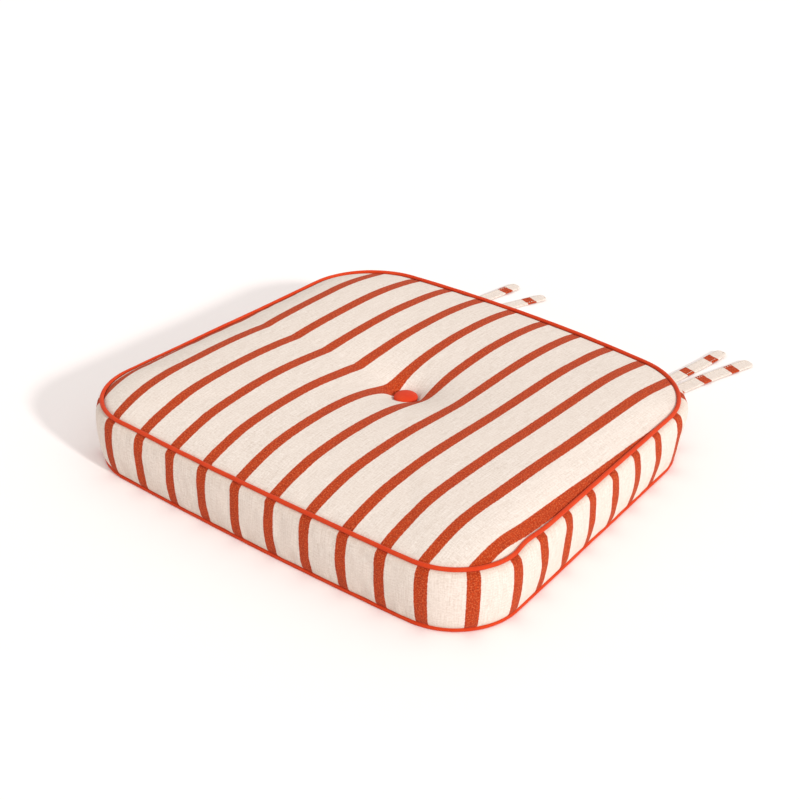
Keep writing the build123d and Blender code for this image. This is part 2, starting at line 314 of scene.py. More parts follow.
def weave_height(tree, cloth, thread):
    """Height of a plain weave: warp and weft pass over each other in turn."""
    split = add(tree, "ShaderNodeSeparateXYZ", links={"Vector": cloth})
    waves = []
    for axis in ("X", "Y"):
        turns = add(tree, "ShaderNodeMath", {"operation": "MULTIPLY"},
                    {0: split.outputs[axis], 1: math.pi / thread})
        wave = add(tree, "ShaderNodeMath", {"operation": "SINE"}, {0: turns.outputs[0]})
        waves.append(wave.outputs[0])
    crossing = add(tree, "ShaderNodeMath", {"operation": "MULTIPLY"}, {0: waves[0], 1: waves[1]})
    return add(tree, "ShaderNodeMapRange", links={
        "Value": crossing.outputs[0], "From Min": -1.0, "From Max": 1.0})


def stretched_noise(tree, cloth, across, along, detail=2.0):
    """Noise drawn out along the threads; across and along are its grain in metres."""
    scaled = add(tree, "ShaderNodeMapping", {"vector_type": "POINT"},
                 {"Vector": cloth, "Scale": (1 / across, 1 / along, 1.0)})
    return add(tree, "ShaderNodeTexNoise", links={
        "Vector": scaled.outputs["Vector"], "Scale": 1.0, "Detail": detail, "Roughness": 0.6})


def striped_canvas():
    """Cotton and linen canvas with woven stripes: matt, slubby, red warp crossed by cream weft."""
    material, tree = start_material("striped_cotton_linen_canvas")
    cloth = add(tree, "ShaderNodeUVMap", {"uv_map": "cloth"}).outputs["UV"]
    split = add(tree, "ShaderNodeSeparateXYZ", links={"Vector": cloth})
    # stripe edges step by a thread here and there
    ragged = stretched_noise(tree, cloth, 4 * THREAD, 3 * THREAD)
    nudge = add(tree, "ShaderNodeMapRange", links={
        "Value": ragged.outputs["Fac"], "From Min": 0.3, "From Max": 0.7,
        "To Min": 0.5 - 0.25 * THREAD / REPEAT, "To Max": 0.5 + 0.25 * THREAD / REPEAT})
    turns = add(tree, "ShaderNodeMath", {"operation": "MULTIPLY_ADD"},
                {0: split.outputs["X"], 1: 1 / REPEAT, 2: nudge.outputs[0]})
    place = add(tree, "ShaderNodeMath", {"operation": "FRACT"}, {0: turns.outputs[0]})
    off = add(tree, "ShaderNodeMath", {"operation": "SUBTRACT"}, {0: place.outputs[0], 1: 0.5})
    far = add(tree, "ShaderNodeMath", {"operation": "ABSOLUTE"}, {0: off.outputs[0]})
    half = STRIPE / REPEAT / 2
    red = add(tree, "ShaderNodeMapRange", links={
        "Value": far.outputs[0], "From Min": half + STRIPE_BLUR,
        "From Max": half - STRIPE_BLUR}).outputs[0]
    # slubs: uneven thick threads, long along the warp and short along the weft
    warp = stretched_noise(tree, cloth, 1.3 * THREAD, 24 * THREAD, 3.0)
    weft = stretched_noise(tree, cloth, 9 * THREAD, 1.3 * THREAD, 3.0)
    grain = stretched_noise(tree, cloth, 2.0 * THREAD, 2.0 * THREAD, 2.0)
    slub = add(tree, "ShaderNodeMath", {"operation": "ADD"},
               {0: warp.outputs["Fac"], 1: weft.outputs["Fac"]})
    slub = add(tree, "ShaderNodeMath", {"operation": "ADD"},
               {0: slub.outputs[0], 1: grain.outputs["Fac"]})
    patch = stretched_noise(tree, cloth, 45 * MM, 60 * MM, 1.0)
    tone = add(tree, "ShaderNodeMapRange", links={
        "Value": slub.outputs[0], "From Min": 1.15, "From Max": 1.85})
    cream = add(tree, "ShaderNodeMix", COLOUR_MIX, {
        0: tone.outputs[0], 6: linear(CREAM_DARK), 7: linear(CREAM_LIGHT)})
    worn = add(tree, "ShaderNodeMapRange", links={
        "Value": patch.outputs["Fac"], "From Min": 0.35, "From Max": 0.65, "To Min": 0.0, "To Max": 0.25})
    cream = add(tree, "ShaderNodeMix", COLOUR_MIX, {
        0: worn.outputs[0], 6: cream.outputs[2], 7: linear(CREAM_WORN)})
    # flecks where the cream weft shows between the red warp threads
    speck = stretched_noise(tree, cloth, 1.6 * THREAD, 1.6 * THREAD, 2.0)
    fleck = add(tree, "ShaderNodeMapRange", links={
        "Value": speck.outputs["Fac"], "From Min": 0.47, "From Max": 0.72})
    brick = add(tree, "ShaderNodeMix", COLOUR_MIX, {
        0: tone.outputs[0], 6: linear(BRICK_DARK), 7: linear(BRICK)})
    brick = add(tree, "ShaderNodeMix", COLOUR_MIX, {
        0: fleck.outputs[0], 6: brick.outputs[2], 7: linear(BRICK_FLECK)})
    colour = add(tree, "ShaderNodeMix", COLOUR_MIX, {
        0: red, 6: cream.outputs[2], 7: brick.outputs[2]})
    # cloth near a seam is darkened: painted shade where it tucks in under the piping, with a little grime
    seam = add(tree, "ShaderNodeAttribute", {"attribute_name": "seam"})
    seam_shade_and_grime = add(tree, "ShaderNodeMath", {"operation": "MULTIPLY"}, {0: seam.outputs["Fac"], 1: 0.55})
    colour = add(tree, "ShaderNodeMix", {**COLOUR_MIX, "blend_type": "MULTIPLY"}, {
        0: seam_shade_and_grime.outputs[0], 6: colour.outputs[2], 7: linear(SEAM_SHADE_AND_GRIME_TINT)})
    woven = weave_height(tree, cloth, THREAD)
    thick = add(tree, "ShaderNodeMath", {"operation": "MULTIPLY_ADD"},
                {0: slub.outputs[0], 1: 1.4, 2: woven.outputs[0]})
    bump = add(tree, "ShaderNodeBump", links={
        "Strength": 0.55, "Distance": 0.16 * MM, "Height": thick.outputs[0]})
    rough = add(tree, "ShaderNodeMapRange", links={
        "Value": tone.outputs[0], "To Min": 0.82, "To Max": 0.94})
    finish_material(tree, {
        "Base Color": colour.outputs[2], "Roughness": rough.outputs[0],
        "Normal": bump.outputs["Normal"], "Specular IOR Level": 0.12,
        "Sheen Weight": 0.04, "Sheen Roughness": 0.6})
    return material


def dyed_cotton(name, light, dark, thread, angle, faded=None):
    """Dyed cotton, matt with a faint bloom; its weave lies at an angle where it is bias cut."""
    material, tree = start_material(name)
    cloth = add(tree, "ShaderNodeUVMap", {"uv_map": "cloth"}).outputs["UV"]
    turned = add(tree, "ShaderNodeMapping", {"vector_type": "POINT"},
                 {"Vector": cloth, "Rotation": (0.0, 0.0, angle)}).outputs["Vector"]
    woven = weave_height(tree, turned, thread)
    slub = stretched_noise(tree, turned, 1.5 * thread, 14 * thread, 3.0)
    patch = stretched_noise(tree, cloth, 18 * MM, 18 * MM, 2.0)
    both = add(tree, "ShaderNodeMath", {"operation": "MULTIPLY_ADD"},
               {0: slub.outputs["Fac"], 1: 0.6, 2: woven.outputs[0]})
    tone = add(tree, "ShaderNodeMapRange", links={
        "Value": both.outputs[0], "From Min": 0.1, "From Max": 1.2})
    colour = add(tree, "ShaderNodeMix", COLOUR_MIX, {
        0: tone.outputs[0], 6: linear(dark), 7: linear(light)})
    fade = add(tree, "ShaderNodeMapRange", links={
        "Value": patch.outputs["Fac"], "From Min": 0.4, "From Max": 0.75, "To Min": 0.0, "To Max": 0.25})
    colour = add(tree, "ShaderNodeMix", COLOUR_MIX, {
        0: fade.outputs[0], 6: colour.outputs[2], 7: linear(faded or light)})
    bump = add(tree, "ShaderNodeBump", links={
        "Strength": 0.6, "Distance": 0.18 * MM, "Height": both.outputs[0]})
    finish_material(tree, {
        "Base Color": colour.outputs[2], "Roughness": 0.8, "Normal": bump.outputs["Normal"],
        "Specular IOR Level": 0.2, "Sheen Weight": 0.06, "Sheen Roughness": 0.5})
    return material


def grained(name, light, dark, grain, depth, roughness, metallic=0.0):
    """A surface with an irregular grain: foam cells, fibre fuzz, tumbled metal."""
    material, tree = start_material(name)
    place = add(tree, "ShaderNodeTexCoord").outputs["Object"]
    cells = add(tree, "ShaderNodeTexVoronoi", links={"Vector": place, "Scale": 1 / grain})
    cloud = add(tree, "ShaderNodeTexNoise", links={"Vector": place, "Scale": 0.4 / grain, "Detail": 4.0})
    both = add(tree, "ShaderNodeMath", {"operation": "ADD"},
               {0: cells.outputs["Distance"], 1: cloud.outputs["Fac"]})
    tone = add(tree, "ShaderNodeMapRange", links={
        "Value": both.outputs[0], "From Min": 0.3, "From Max": 1.4})
    colour = add(tree, "ShaderNodeMix", COLOUR_MIX, {
        0: tone.outputs[0], 6: linear(dark), 7: linear(light)})
    bump = add(tree, "ShaderNodeBump", links={
        "Strength": 0.5, "Distance": depth, "Height": both.outputs[0]})
    rough = add(tree, "ShaderNodeMapRange", links={
        "Value": cloud.outputs["Fac"], "To Min": roughness - 0.06, "To Max": roughness + 0.06})
    finish_material(tree, {
        "Base Color": colour.outputs[2], "Roughness": rough.outputs[0],
        "Normal": bump.outputs["Normal"], "Metallic": metallic})
    return material


# undyed cream and brick-red yarn, each with its lighter and darker threads
CREAM_LIGHT, CREAM_DARK, CREAM_WORN = "#EFE4DA", "#D3C3B5", "#E5D7CB"
BRICK, BRICK_DARK, BRICK_FLECK = "#C03D0D", "#8E2604", "#D0663A"
# tint for the painted shade and a little grime along the seams
SEAM_SHADE_AND_GRIME_TINT = "#DCC9B8"
PIPING_RED, PIPING_DARK, FADED_RED = "#DA4012", "#B42C08", "#E05A2A"

canvas = striped_canvas()
# plain cotton cut on the bias, so its weave slants and it hugs the cord; a little faded
piping_cotton = dyed_cotton(
    "bias_cut_red_cotton", PIPING_RED, PIPING_DARK, FINE_THREAD, math.radians(45), FADED_RED)
# the same cotton stretched over a dome: smoother and a little deeper in colour
button_cotton = dyed_cotton(
    "red_cotton_on_button", "#E03C12", "#B4280A", FINE_THREAD, 0.0, FADED_RED)
# bleached cotton yarn in three twisted strands, soft and uneven
cord_cotton = dyed_cotton("white_filler_cord", "#EDE8DC", "#CFC7B6", CORD_YARN, math.radians(35))
# spun polyester thread, its twist just showing
stitch_thread = dyed_cotton(
    "cream_sewing_thread", "#F1E7D9", "#D8CAB7", SEWING_THREAD, math.radians(60))
# polyester tape woven in a fine slanting twill
zip_tape = dyed_cotton("woven_zip_tape", "#E9DED0", "#D2C3B1", TAPE_THREAD, math.radians(45))
# extruded nylon wire, slightly glossy
nylon = grained("moulded_nylon_coil", "#EADFD0", "#D8CBB9", 0.5 * MM, 0.02 * MM, 0.4)
# die-cast zinc, nickel plated and tumbled: soft bright metal without sharp reflections
zinc = grained("tumbled_nickel_plated_zinc", "#B9B6B0", "#8F8C87", 0.6 * MM, 0.01 * MM, 0.34, 1.0)
# pressed from sheet: duller and more even than the zip's metal
aluminium = grained("pressed_aluminium", "#C4C4C6", "#A6A6A9", 0.8 * MM, 0.01 * MM, 0.38, 1.0)
# cut with a hot wire, so open cells show all over
foam_cut = grained("cut_polyurethane_foam", "#EADFB4", "#D5C48E", 0.9 * MM, 0.3 * MM, 0.93)
# crimped fibres bonded into a fluffy sheet
fibre = grained("bonded_polyester_fibre", "#F6F6F4", "#DFDFDC", 2.2 * MM, 0.6 * MM, 0.95)


# --- the top's form -------------------------------------------------------------------
# Heights and runs here are in stripe repeats, measured from the button.
CROWN, FRONT_EXTRA, FRONT_FROM, FRONT_RUN = 0.33, 0.105, -0.75, 0.42
BACK_FALL, BACK_FROM = 0.012, 1.0
# soft swellings: height, middle across, middle back, reach across, reach back
SWELLINGS = ((0.02, -2.6, -2.0, 1.6, 1.0), (0.03, 3.0, 0.0, 1.6, 1.1))
WELL, WELL_RUN = 0.60, 0.75                        # the broad hollow that the button pulls
SEAT, SEAT_R, SEAT_RUN = 0.172, 0.29, 0.10         # the steep seat close round the button
CREASE, CREASE_RUN, CREASE_ROUND = 0.055, 0.42, 0.05
CREASE_EXTRA, CREASE_EXTRA_X, CREASE_EXTRA_RUN = 0.035, -1.3, 0.8


def crown_height(x, y, inset, slope):
    """Height of the upper cloth above the piping: a crown with a well and a crease.

    inset is the distance in from the piping, slope the run over which the edge rises.
    """
    X, Y = x / REPEAT, (y - TUFT_Y) / REPEAT
    r = np.hypot(X, Y)
    front = 1 / (1 + np.exp((Y - FRONT_FROM) / FRONT_RUN))
    crown = CROWN + FRONT_EXTRA * front - BACK_FALL * np.clip(Y - BACK_FROM, 0, None) ** 1.5
    for height, across, back, wide, deep in SWELLINGS:
        crown = crown + height * np.exp(-((X - across) / wide) ** 2 - ((Y - back) / deep) ** 2)
    rim = 1 - np.exp(-np.clip(inset / slope * 1.05, 0, None) ** 1.15)
    well = WELL * np.exp(-r / WELL_RUN)
    well = well + SEAT * np.exp(-np.clip(r - SEAT_R, 0, None) / SEAT_RUN)
    # the crease runs right across to the left and dies out to the right of the button
    left = CREASE + CREASE_EXTRA * np.exp(-((X - CREASE_EXTRA_X) / CREASE_EXTRA_RUN) ** 2)
    depth = np.where(X < 0, left, CREASE * np.exp(-X)) * (1 - np.exp(-(r / 0.5) ** 2))
    crease = depth * np.exp(-np.sqrt(Y ** 2 + CREASE_ROUND ** 2) / CREASE_RUN)
    return REPEAT * (crown * rim - (well + crease) * np.clip(rim, 0, 1))


def ring_grid(columns, spread, centre_r, rim_out):
    """Points that fan from round the button to the edge: x, y, inset, place round the edge."""
    s = np.linspace(-HALF_WAY, HALF_WAY, columns, endpoint=False)
    ox, oy, nx, ny = edge_point(s, rim_out)
    ray = np.stack([ox, oy - TUFT_Y], -1)
    length = np.linalg.norm(ray, axis=1)
    unit = ray / length[:, None]
    facing = unit[:, 0] * nx + unit[:, 1] * ny
    reach = centre_r + (length - centre_r) * spread[:, None]
    x, y = unit[:, 0] * reach, TUFT_Y + unit[:, 1] * reach
    inset = (length - reach) * facing - rim_out
    return s, x, y, inset, nx, ny


def bunched(count):
    """Steps from 0 to 1 that are closer together at both ends."""
    t = np.linspace(0, 1, count)
    return t ** 1.6 * (1 - t) + (1 - (1 - t) ** 1.9) * t


def drawn_in(s):
    """How far the top seam is drawn in just behind the front right corner."""
    return 2.4 * MM * np.exp(-((s - SIDE_START - 14 * MM) / (16 * MM)) ** 2)


def edge_puckers(s, seed, amount):
    """Small gathers along a seam, as the stitches take the cloth up."""
    coarse = smooth_noise(s, 11 * MM, seed) + 0.6 * smooth_noise(s, 6 * MM, seed + 1)
    where = 0.45 + 0.55 * smooth_noise(s, 70 * MM, seed + 2)
    return amount * coarse * np.clip(where, 0.1, 1)


def seam_attribute(piece, values):
    """How near each point is to a seam, from 0 to 1, for the painted shade and grime that darken the
    cloth there.
    """
    layer = piece.data.attributes.new("seam", "FLOAT", "POINT")
    layer.data.foreach_set("value", np.asarray(values, np.float32).reshape(-1))


# faint creases that run back from the front seam, in mm: x at the seam, x at the end, length
FRONT_CREASES = ((98, 105, 32), (147, 152, 20), (45, 41, 20), (71, 75, 14))
FRONT_CREASE_DEPTH, FRONT_CREASE_REACH = 0.6 * MM, 2.6 * MM


def front_creases(x, y, inset):
    """How far the faint creases behind the front seam sink below the crown."""
    depth = np.zeros_like(x)
    for start, end, length in FRONT_CREASES:
        share = inset / (length * MM)
        line = (start + (end - start) * share) * MM
        along = np.exp(-((share - 0.4) / 0.45) ** 2)
        depth += FRONT_CREASE_DEPTH * along * np.exp(-((x - line) / FRONT_CREASE_REACH) ** 2)
    return np.where(y < 0, depth, 0)


# the run over which the cloth rolls over each edge, in repeats
RIGHT_ROLL, LEFT_ROLL, FRONT_ROLL, BACK_ROLL = 0.50, 0.62, 0.95, 1.22
CENTRE_R = 3.0 * MM       # the needle's hole
TUCK = 2.6 * MM           # how deep and how wide the cloth dips beside the piping


def top_surface(columns, rows, sink=0.0, rim_out=-SEAM_UNDER, centre_r=CENTRE_R):
    """The upper cloth's points, sunk below its face by sink for the layers under it."""
    s, x, y, inset, nx, ny = ring_grid(columns, bunched(rows), centre_r, rim_out)
    slope = REPEAT * (np.where(nx > 0, RIGHT_ROLL, LEFT_ROLL) * nx ** 2
                      + np.where(ny < 0, FRONT_ROLL, BACK_ROLL) * ny ** 2)
    z = TOP_Z + crown_height(x, y, inset, slope)
    z = z + edge_puckers(s, SEED, 0.35 * MM) * np.exp(-((inset - 6 * MM) / (6 * MM)) ** 2)
    z = z - TUCK * np.exp(-(inset / TUCK) ** 2)
    pulled = drawn_in(s) * np.exp(-np.clip(inset, 0, None) / (9 * MM))
    x, y = x - nx * pulled, y - ny * pulled
    return x, y, inset, z - front_creases(x, y, inset) - sink


def taken_up(x, y, inset):
    """Extra cloth that the roll of each side's edge uses up before it reaches a point."""
    start, steps = 150 * MM, 24
    run = np.clip(np.abs(x) - start, 0, None) / steps
    extra = np.zeros_like(x)
    previous = None
    for k in range(steps + 1):
        at = start + run * k
        height = crown_height(np.sign(x) * at, y, inset + np.abs(x) - at, 0.55 * REPEAT)
        if previous is not None:
            extra += np.hypot(run, height - previous) - run
        previous = height
    # the front right corner takes up a little more
    near = np.exp(-((x - 190 * MM) / (40 * MM)) ** 2 - ((y + 150 * MM) / (40 * MM)) ** 2)
    return np.sign(x) * extra + 2.5 * MM * near


def make_top_panel():
    """Crowned upper panel, stitched in all round and held down by the button."""
    x, y, inset, z = top_surface(320, 76)
    grid = np.stack([x, y, z], -1)
    across = x + taken_up(x, y, inset) - CLOTH_SHIFT + REPEAT / 2
    uv = np.stack([across, y], -1)
    uv = np.concatenate([uv, uv[:, :1]], 1)
    piece = grid_object("top_panel_cloth", grid, uv, canvas, ring_columns=True)
    # nearness to the seam, where the canvas gets painted shade and a little grime
    seam_attribute(piece, np.exp(-np.clip(inset, 0, None) / (2.5 * MM)))
    from_button = np.hypot(x, y - TUFT_Y)
    held = np.maximum(inset < 3.5 * MM, from_button < 13 * MM)
    fill_out(piece, held, 0.6, 0.0005, 0.7 * MM)
    smoother(piece)
    return piece


# --- boxing ---------------------------------------------------------------------------
BULGE = 5.8 * MM                       # how far the sides stand out past the seams
SHOULDER, FULLNESS = 0.66, 0.48        # shape of the bulge: fullest above the middle
ZIP_HALF = (back_zip_high.x - back_zip_low.x) / 2 + 1.0 * MM
SLOT_HALF = 4.4 * MM                   # half the height of the opening that shows the zip
STITCH_IN = 2.6 * MM                   # topstitching beside the opening
ZIP_STITCH = 3.2 * MM


def side_profile(t):
    """How far out and how high the boxing is, t going from the top seam to the bottom seam."""
    out = BULGE * np.clip(np.sin(math.pi * np.clip(t, 0, 1) ** SHOULDER), 0, 1) ** FULLNESS
    height = TOP_Z - SEAM_UNDER + (BASE_Z - TOP_Z + 2 * SEAM_UNDER) * t
    return out, height


def boxing_grid(s, t, seed):
    """Cloth between the two pipings over part of the way round; t is one row of steps or a grid."""
    if t.ndim == 1:
        t = np.broadcast_to(t[:, None], (len(t), len(s)))
    out, height = side_profile(t)
    lumps = 0.55 * MM * smooth_noise(s, 95 * MM, seed)
    lumps = lumps + 0.3 * MM * smooth_noise(s, 38 * MM, seed + 1)
    upper = edge_puckers(s, seed + 2, 0.32 * MM)
    lower = edge_puckers(s, seed + 5, 0.4 * MM)
    swell = np.sin(math.pi * t) * lumps + np.exp(-((t - 0.12) / 0.12) ** 2) * upper
    swell = swell + np.exp(-((t - 0.88) / 0.14) ** 2) * lower
    # the cover is fullest under the seam at the back right corner
    full = 3.2 * MM * np.exp(-((s - SIDE_END - 42 * MM) / (40 * MM)) ** 2)
    swell = swell + np.exp(-((t - 0.2) / 0.2) ** 2) * full * (t > 0)
    swell = swell - np.exp(-t / 0.2) * drawn_in(s)
    px, py, nx, ny = edge_point(s)
    reach = out + swell
    return np.stack([px + nx * reach, py + ny * reach, height], -1)


def profile_length(t):
    """Cloth used from the top seam down to each t."""
    out, height = side_profile(t)
    return np.concatenate([[0], np.cumsum(np.hypot(np.diff(out), np.diff(height)))])


def make_boxing_strip():
    """The strip round the front and both sides, its stripes upright."""
    end = HALF_WAY - BACK_ARC
    s = np.linspace(-end, end, 480)
    t = np.linspace(0, 1, 23)
    grid = boxing_grid(s, t, SEED + BOXING_SEED)
    across = (s - CLOTH_SHIFT + REPEAT / 2)[None, :]
    uv = np.stack(np.broadcast_arrays(across, -profile_length(t)[:, None]), -1)
    piece = grid_object("boxing_cloth", grid, uv, canvas)
    near = np.minimum(t, 1 - t) * (TOP_Z - BASE_Z)
    # nearness to either seam, where the canvas gets painted shade and a little grime
    seam_attribute(piece, np.broadcast_to(np.exp(-near / (3 * MM))[:, None], grid.shape[:2]))
    held = (near < 4 * MM)[:, None] | (np.abs(s) > end - 3 * MM)[None, :]
    fill_out(piece, held, 0.5, 0.004, 0.9 * MM)
    smoother(piece)
    return piece


def make_zip_boxing(name, upper):
    """Half of the back boxing, its inner edge folded over beside the zip and topstitched."""
    s = np.linspace(HALF_WAY - BACK_ARC, HALF_WAY + BACK_ARC, 300)
    # the slot closes past each end of the zip
    past = np.clip((np.abs(s - HALF_WAY) - ZIP_HALF) / (3 * MM), 0, 1)
    slot = (SLOT_HALF * (1 - past * past * (3 - 2 * past)) + 0.12 * MM) / (TOP_Z - BASE_Z)
    edge = 0.5 - slot if upper else 0.5 + slot
    t = np.linspace(0, edge, 22) if upper else np.linspace(edge, 1, 22)
    grid = boxing_grid(s, t, SEED + BACK_SEED)
    _, _, nx, ny = edge_point(s)
    fold_row = grid[-1] if upper else grid[0]
    normal = np.stack([nx, ny, np.zeros_like(nx)], -1)
    towards_zip = np.array([0, 0, -1.0 if upper else 1.0])
    fold_r = 0.6 * MM
    rolled = []
    for angle in (30, 75, 120, 180):
        a = math.radians(angle)
        step = towards_zip * math.sin(a) - normal * (1 - math.cos(a))
        rolled.append(fold_row + step * fold_r)
    rolled.append(fold_row - normal * 1.3 * MM - towards_zip * 9 * MM)      # the turned-in layer
    grid = np.concatenate([grid, rolled] if upper else [rolled[::-1], grid])
    rise = np.concatenate([[0], np.cumsum(np.linalg.norm(np.diff(grid[:, 0], axis=0), axis=1))])
    across = (s - CLOTH_SHIFT + REPEAT / 2)[None, :]
    uv = np.stack(np.broadcast_arrays(across, -rise[:, None]), -1)
    stitch_z = MID_Z - towards_zip[2] * (SLOT_HALF + STITCH_IN)
    t_stitch = (TOP_Z - 1.6 * MM - stitch_z) / (TOP_Z - BASE_Z - 3.2 * MM)
    line = boxing_grid(s, np.array([t_stitch]), SEED + BACK_SEED)[0]
    groups = [(*grid_parts(grid, uv), 0)] + stitches(line, normal, ZIP_STITCH)
    piece = joined(name, groups, [canvas, stitch_thread])
    seam_attribute(piece, np.zeros(len(piece.data.vertices)))
    return piece


def stitches(line, normal, pitch, radius=0.32 * MM):
    """Short raised thread lengths along a line of points, as groups for joined()."""
    steps = np.concatenate([[0], np.cumsum(np.linalg.norm(np.diff(line, axis=0), axis=1))])
    groups = []
    for k in range(int(steps[-1] / pitch)):
        along = (k + np.array([0.1, 0.3, 0.5, 0.7, 0.9])) * pitch
        lift = np.array([-0.25, 0.2, 0.3, 0.2, -0.25]) * MM
        centre = np.stack([np.interp(along, steps, line[:, a]) for a in range(3)], -1)
        outward = np.stack([np.interp(along, steps, normal[:, a]) for a in range(3)], -1)
        groups.append((*tube_parts(centre + outward * lift[:, None], radius, 6), 1))
    return groups


# --- piping -----------------------------------------------------------------------------
CORD_R = 1.35 * MM        # the cord is pressed into the cloth, so it is a little full


def piping_path(height, seed, columns, lift_scale, pull):
    """The seam line the piping follows; lift_scale and pull say how far it wanders."""
    s = np.linspace(-HALF_WAY, HALF_WAY, columns, endpoint=False)
    sway = 0.25 * MM * smooth_noise(s, 60 * MM, seed)
    sway = sway + 0.12 * MM * smooth_noise(s, 22 * MM, seed + 1) - pull * drawn_in(s)
    lift = lift_scale * 0.3 * MM * smooth_noise(s, 85 * MM, seed + 2)
    x, y, nx, ny = edge_point(s)
    return s, np.stack([x + nx * sway, y + ny * sway, height + lift], -1)


def make_piping(name, height, seed, lift_scale, pull):
    """Bias-cut cloth round the cord, with the faint slanting drag lines bias cloth takes."""
    columns, around = 1400, 20
    s, path = piping_path(height, seed, columns, lift_scale, pull)
    angle = np.arange(around) / around * 2 * math.pi
    drag = smooth_noise(s[:, None] + angle[None, :] * 3.5 * MM, 7 * MM, seed + 4)
    parts = tube_parts(path, PIPE_R * (1 + 0.035 * drag), around, closed=True)
    return mesh_object(name, *parts, piping_cotton)


def make_filler_cord(name, height, seed, lift_scale, pull):
    """Three-strand twisted cord: the strands show as slanting lobes."""
    columns, around = 900, 12
    s, path = piping_path(height, seed, columns, lift_scale, pull)
    angle = np.arange(around) / around * 2 * math.pi
    lobes = np.abs(np.sin(1.5 * (angle[None, :] - s[:, None] / (2.2 * MM))))
    parts = tube_parts(path, CORD_R * (0.88 + 0.12 * lobes), around, closed=True)
    return mesh_object(name, *parts, cord_cotton)


# --- bottom panel and filling -------------------------------------------------------------
def bottom_height(x, y, inset):
    """Underside: flat where it rests, lifting to the seam and into the button's dimple."""
    r = np.hypot(x, y - TUFT_Y)
    angle = np.arctan2(y - TUFT_Y, x)
    edge = 2.2 * MM * np.exp(-np.clip(inset, 0, None) / (6 * MM))
    dimple = 6.4 * MM * np.exp(-(np.clip(r - 9 * MM, 0, None) / (8 * MM)) ** 1.3)
    creases = 0.5 * MM * np.cos(9 * angle + 1.3 * np.sin(2 * angle))
    creases = creases * np.exp(-((r - 19 * MM) / (9 * MM)) ** 2)
    return 0.35 * MM + edge + dimple + np.clip(creases, -0.3 * MM, None)


def make_bottom_panel():
    """Plain lower panel, pulled up a little at the middle by the lower button."""
    s, x, y, inset, _, _ = ring_grid(420, bunched(90), CENTRE_R, -SEAM_UNDER)
    gather = edge_puckers(s, SEED + BOTTOM_SEED, 0.3 * MM) * np.exp(-((inset - 6 * MM) / (6 * MM)) ** 2)
    z = bottom_height(x, y, inset) + np.abs(gather)
    grid = np.stack([x, y, z], -1)
    wide = np.concatenate([grid, grid[:, :1]], 1)
    uv = np.stack([wide[..., 0] - CLOTH_SHIFT + REPEAT / 2, wide[..., 1]], -1)
    piece = grid_object("bottom_panel_cloth", grid, uv, canvas, ring_columns=True, flip=True)
    # nearness to the seam, where the canvas gets painted shade and a little grime
    seam_attribute(piece, np.exp(-np.clip(inset, 0, None) / (2.5 * MM)))
    return piece


def closed_layer(name, upper, lower, material):
    """A closed sheet of filling between two matching fans of points."""
    rows = len(upper)
    grid = np.concatenate([upper, lower[::-1]])
    length = np.arange(2 * rows + 1) * 4 * MM
    around = np.arange(grid.shape[1] + 1) * 4 * MM
    uv = np.stack(np.broadcast_arrays(around[None, :], length[:, None]), -1)
    return grid_object(name, grid, uv, material, ring_rows=True, ring_columns=True)


# how far in from the seams the fibre and the foam stop
FIBRE_EDGE, FOAM_EDGE = -6.0 * MM, -11.0 * MM
# section of the fibre round the foam's edge, in mm: outward of the seams, height
EDGE_FIBRE = ((-9.6, 11.0), (-0.6, 11.0), (1.8, 20.0), (2.8, 30.0), (1.8, 39.0), (-0.6, 46.0),
              (-9.6, 46.0))


def make_filling():
    """Foam with fibre above, below and round it; each follows the cloth that covers it."""
    columns, rows, hole = 200, 40, 4.0 * MM

    def upper(sink, out):
        x, y, _, z = top_surface(columns, rows, sink, out, hole)
        return np.stack([x, y, z], -1)

    def lower(lift, out):
        _, x, y, inset, _, _ = ring_grid(columns, bunched(rows), hole, out)
        return np.stack([x, y, bottom_height(x, y, inset) + lift], -1)

    layers = (
        ("fibre_over_foam", upper(2.0 * MM, FIBRE_EDGE), upper(9.0 * MM, FIBRE_EDGE), fibre),
        ("fibre_under_foam", lower(9.0 * MM, FIBRE_EDGE), lower(1.6 * MM, FIBRE_EDGE), fibre),
        ("foam_block", upper(10.0 * MM, FOAM_EDGE), lower(10.0 * MM, FOAM_EDGE), foam_cut))
    pieces = [closed_layer(*layer) for layer in layers]
    s = np.linspace(-HALF_WAY, HALF_WAY, 360, endpoint=False)
    x, y, nx, ny = edge_point(s)
    back = np.abs(s) > HALF_WAY - BACK_ARC - 4 * MM       # it stops short of the zip
    ring = []
    for out, height in EDGE_FIBRE:
        reach = np.where(back, np.minimum(out, -1.0), out) * MM
        ring.append(np.stack([x + nx * reach, y + ny * reach, np.full_like(x, height * MM)], -1))
    around, over = np.arange(len(s) + 1) * 4 * MM, np.arange(len(ring) + 1) * 8 * MM
    uv = np.stack(np.broadcast_arrays(around[None, :], over[:, None]), -1)
    pieces.append(grid_object("fibre_round_foam", np.array(ring), uv, fibre,
                              ring_rows=True, ring_columns=True, flip=True))
    for piece, node, slot in zip(
            pieces, ("fibre_wrap_top", "fibre_wrap_bottom", "foam_core", "fibre_wrap_edge"),
            ("polyester_fibre", "polyester_fibre", "foam", "polyester_fibre")):
        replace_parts(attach(piece, "pad"), node)


